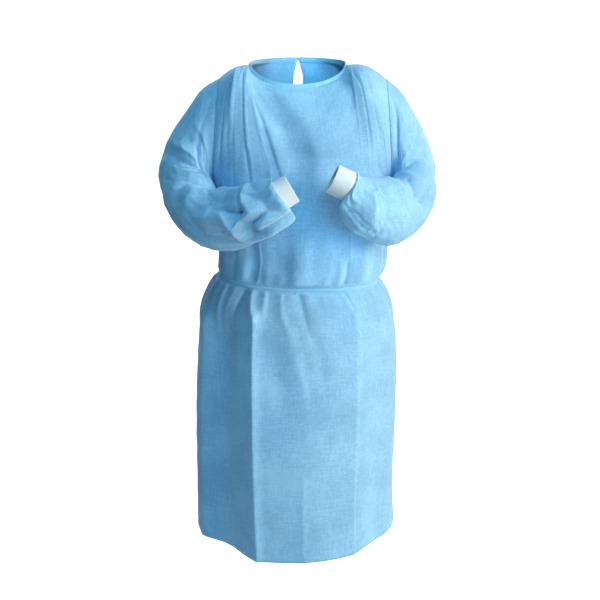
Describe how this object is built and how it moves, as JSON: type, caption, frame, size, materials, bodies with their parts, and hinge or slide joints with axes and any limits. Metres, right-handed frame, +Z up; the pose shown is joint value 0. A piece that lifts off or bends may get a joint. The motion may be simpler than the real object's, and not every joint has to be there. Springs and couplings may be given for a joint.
{
  "type": "disposable isolation gown",
  "caption": "Thin blue nonwoven isolation gown with long bent sleeves, knit cuffs, a bound round neck, a tied belt and an open back, filled out as worn.",
  "frame": {"origin": "on the shoulders, midway between the two side points of the neckline, where the wearer holds the gown up", "axes": "+Z up, -Y the way the wearer faces, +X towards the wearer's left arm"},
  "size_m": [0.639, 0.4503, 1.146],
  "materials": {
    "front": "matte, soft, slightly see-through nonwoven",
    "back_left": "matte, soft, slightly see-through nonwoven",
    "back_right": "matte, soft, slightly see-through nonwoven",
    "sleeve_right": "matte, soft, slightly see-through nonwoven",
    "sleeve_left": "matte, soft, slightly see-through nonwoven",
    "cuff_right": "matte rib knit",
    "cuff_left": "matte rib knit",
    "neck_binding": "matte folded tape of the same cloth",
    "belt": "matte folded tape of the same cloth",
    "belt_tab": "matte folded tape of the same cloth",
    "belt_knot": "matte folded tape of the same cloth",
    "belt_tail_left": "matte folded tape of the same cloth",
    "belt_tail_right": "matte folded tape of the same cloth",
    "neck_knot": "matte folded tape of the same cloth",
    "neck_tail_left": "matte folded tape of the same cloth",
    "neck_tail_right": "matte folded tape of the same cloth"
  },
  "bodies": {
    "root": {"front": "front", "back_left": "back_left", "back_right": "back_right", "sleeve_right": "sleeve_right", "sleeve_left": "sleeve_left", "cuff_right": "cuff_right", "cuff_left": "cuff_left", "neck_binding": "neck_binding", "belt": "belt", "belt_tab": "belt_tab", "belt_knot": "belt_knot", "belt_tail_left": "belt_tail_left", "belt_tail_right": "belt_tail_right", "neck_knot": "neck_knot", "neck_tail_left": "neck_tail_left", "neck_tail_right": "neck_tail_right"}
  },
  "joints": []
}
